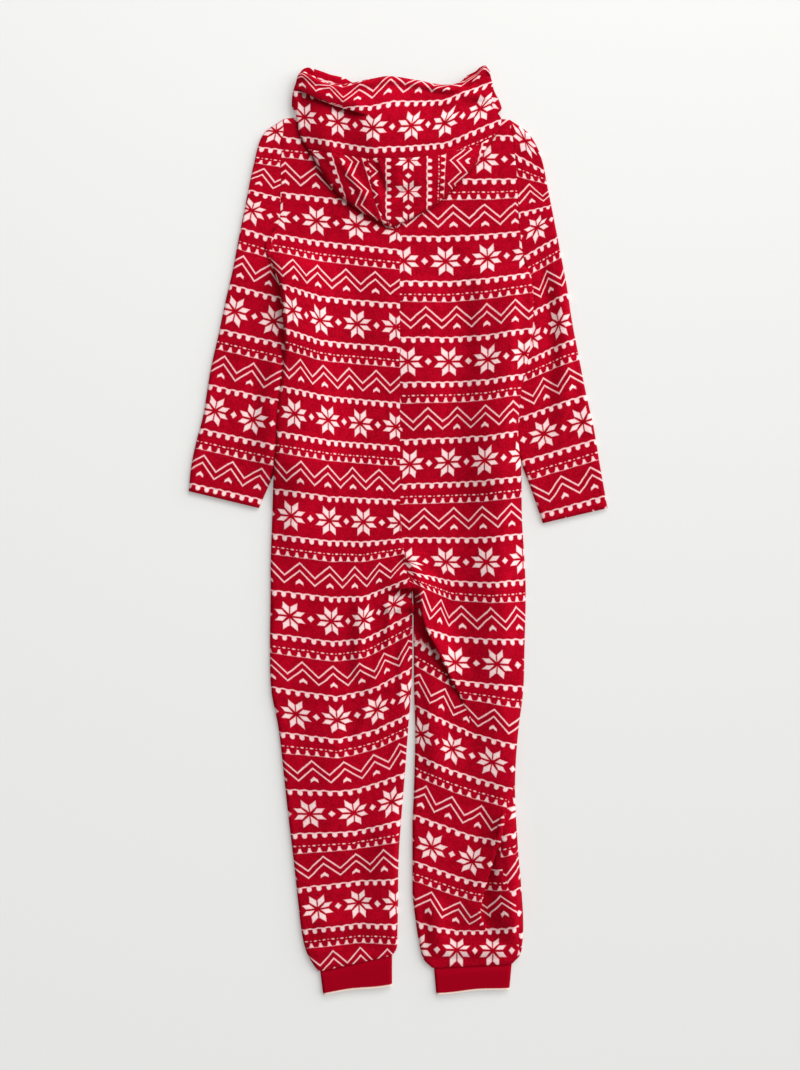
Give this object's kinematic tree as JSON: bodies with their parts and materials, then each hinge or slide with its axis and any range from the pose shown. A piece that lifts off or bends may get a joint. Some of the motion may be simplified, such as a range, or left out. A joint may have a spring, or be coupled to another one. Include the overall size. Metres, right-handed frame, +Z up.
{
  "type": "onesie pajama",
  "caption": "Hooded onesie pajama of plush fleece with long sleeves, ribbed ankle cuffs and a buttoned front, laid flat face down with its hood folded back.",
  "frame": {"origin": "centre of the bounding box, on the surface that the garment lies on", "axes": "+Y from the ankles to the hood, +Z up from the surface, out of the wearer's back, +X towards the wearer's right side"},
  "size_m": [0.6906, 1.5316, 0.0419],
  "materials": {
    "plush_red": "plush fleece with a short nap",
    "rib_red": "ribbed knit",
    "button_red": "semi-gloss"
  },
  "bodies": {
    "root": {"back_left": "plush_red", "back_right": "plush_red", "front_left": "plush_red", "front_right": "plush_red", "sleeve_left": "plush_red", "sleeve_right": "plush_red", "cuff_left": "rib_red", "cuff_right": "rib_red", "hood_band": "plush_red", "hood_left": "plush_red", "hood_right": "plush_red", "hood_under": "plush_red", "button_1": "button_red", "button_2": "button_red", "button_3": "button_red", "button_4": "button_red", "button_5": "button_red", "button_6": "button_red", "button_7": "button_red"}
  },
  "joints": []
}
